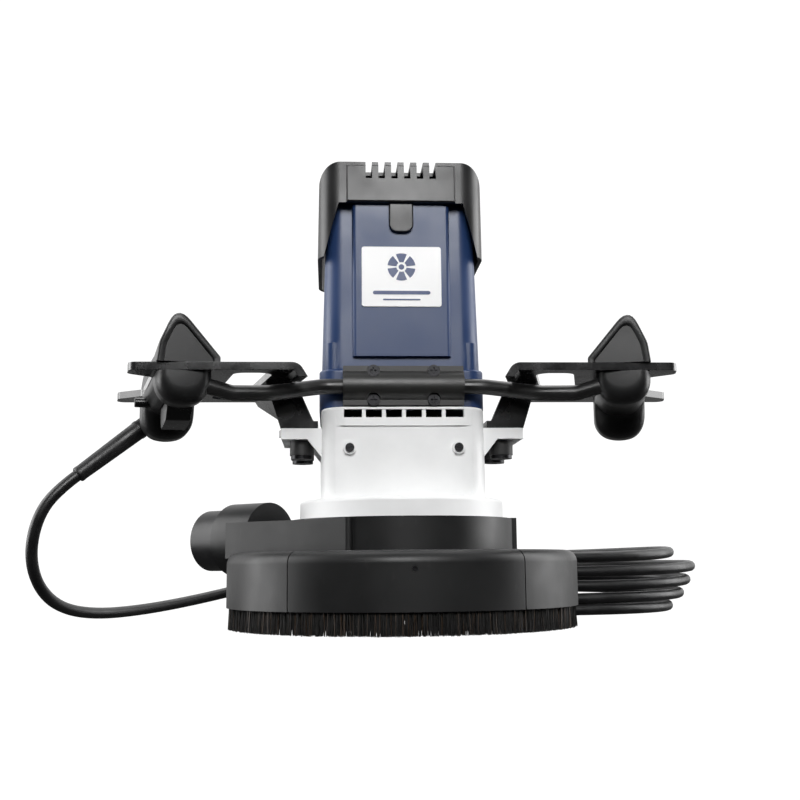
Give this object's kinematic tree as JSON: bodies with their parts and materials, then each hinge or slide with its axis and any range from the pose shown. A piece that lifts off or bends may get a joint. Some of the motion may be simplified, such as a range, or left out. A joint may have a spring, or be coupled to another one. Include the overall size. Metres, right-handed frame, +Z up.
{
  "type": "concrete grinder",
  "caption": "Upright-motor concrete grinder with round brush-skirted dust hood, removable front hood segment, hose port, two splayed side grips, front bow tube and coiled mains cord.",
  "frame": {"origin": "on the floor under the spindle axis", "axes": "+Z up along the spindle, -Y towards the front of the machine, +X towards the right grip; the trigger and the cord are on the left grip"},
  "size_m": [0.6161, 0.457, 0.371],
  "materials": {
    "hood_plastic": "fine-grained moulded plastic",
    "bristle": "stiff bristles",
    "port_plastic": "moulded plastic",
    "cast_alloy": "fine cast grain, painted silver",
    "steel": "machined",
    "screw_steel": "blackened",
    "gear_steel": "hardened",
    "seal_rubber": "moulded rubber",
    "wheel_steel": "painted wheel body",
    "diamond": "sintered segments",
    "housing_blue": "satin blue plastic",
    "cap_plastic": "dark warm grey plastic",
    "label_white": null,
    "core_steel": "laminated",
    "copper": "enamelled copper",
    "fan_plastic": "moulded",
    "carbon": "pressed carbon",
    "holder_brass": "pressed brass",
    "module_plastic": "potted module",
    "tube_black": "black sleeve",
    "clamp_plastic": "moulded plastic",
    "frame_black": "gloss black powder coat",
    "grip_plastic": "satin charcoal plastic",
    "trigger_plastic": "black plastic",
    "cord_rubber": "black rubber"
  },
  "bodies": {
    "machine": {"hood_shell": "hood_plastic", "brush_ring": "bristle", "hose_spigot": "port_plastic", "hood_screws": "screw_steel", "gear_cover": "cast_alloy", "gear_housing": "cast_alloy", "gear_cover_screws": "screw_steel", "spindle_seal": "seal_rubber", "lower_bearing_outer": "steel", "upper_bush": "steel", "motor_base": "housing_blue", "motor_housing": "housing_blue", "motor_screws": "screw_steel", "label_plate": "label_white", "top_cap": "cap_plastic", "cap_tongue": "cap_plastic", "stator_core": "core_steel", "field_coils": "copper", "armature_bearing_lower": "steel", "armature_bearing_upper": "steel", "brush_holders": "holder_brass", "carbon_brushes": "carbon", "control_module": "module_plastic", "bow_tube": "tube_black", "bow_clamp_rear": "clamp_plastic", "bow_clamp_front": "clamp_plastic", "bow_clamp_screws": "screw_steel", "left_handle_frame": "frame_black", "right_handle_frame": "frame_black", "handle_dampers": "seal_rubber", "handle_bolts": "screw_steel", "left_grip_upper": "grip_plastic", "left_grip_lower": "grip_plastic", "right_grip_upper": "grip_plastic", "right_grip_lower": "grip_plastic", "grip_screws": "screw_steel", "trigger_pin": "steel", "trigger_switch": "fan_plastic", "strain_relief": "seal_rubber", "cord_lead": "cord_rubber", "cord_coil": "cord_rubber", "plug": "cord_rubber"},
    "spindle": {"spindle": "steel", "spindle_key": "steel", "spindle_gear": "gear_steel", "lower_bearing_inner": "steel", "wheel_flange": "steel", "cup_wheel": "wheel_steel", "diamond_segments": "diamond", "clamp_nut": "steel"},
    "armature": {"armature_shaft": "gear_steel", "armature_core": "core_steel", "armature_windings": "copper", "commutator": "copper", "cooling_fan": "fan_plastic"},
    "hood_segment": {"hood_segment": "hood_plastic", "segment_brush": "bristle", "segment_latch": "screw_steel"},
    "trigger": {"trigger": "trigger_plastic"},
    "lock_button": {"lock_button": "fan_plastic"}
  },
  "joints": [
    {"name": "spindle_spin", "type": "hinge", "parent": "machine", "child": "spindle", "pos_m": [0, 0, 0.05], "axis": [0, 0, 1], "continuous": true},
    {"name": "armature_spin", "type": "hinge", "parent": "machine", "child": "armature", "pos_m": [0, 0.03313, 0.2], "axis": [0, 0, 1], "continuous": true},
    {"name": "segment_pull", "type": "slide", "parent": "machine", "child": "hood_segment", "axis": [0, -1, 0], "range_m": [0, 0.06]},
    {"name": "trigger_pull", "type": "hinge", "parent": "machine", "child": "trigger", "pos_m": [-0.17308, -0.03749, 0.1785], "axis": [0.9732, 0.23, 0], "range_deg": [0, 6], "stiffness_Nm_per_rad": 0.6, "springref_deg": -8.59},
    {"name": "lock_button_press", "type": "slide", "parent": "machine", "child": "lock_button", "axis": [0.9732, 0.23, 0], "range_m": [0, 0.003], "stiffness_N_per_m": 400, "springref_m": -0.002}
  ],
  "couplings": [
    {"joint": "armature_spin", "follows": "spindle_spin", "ratio": -3.8182}
  ]
}
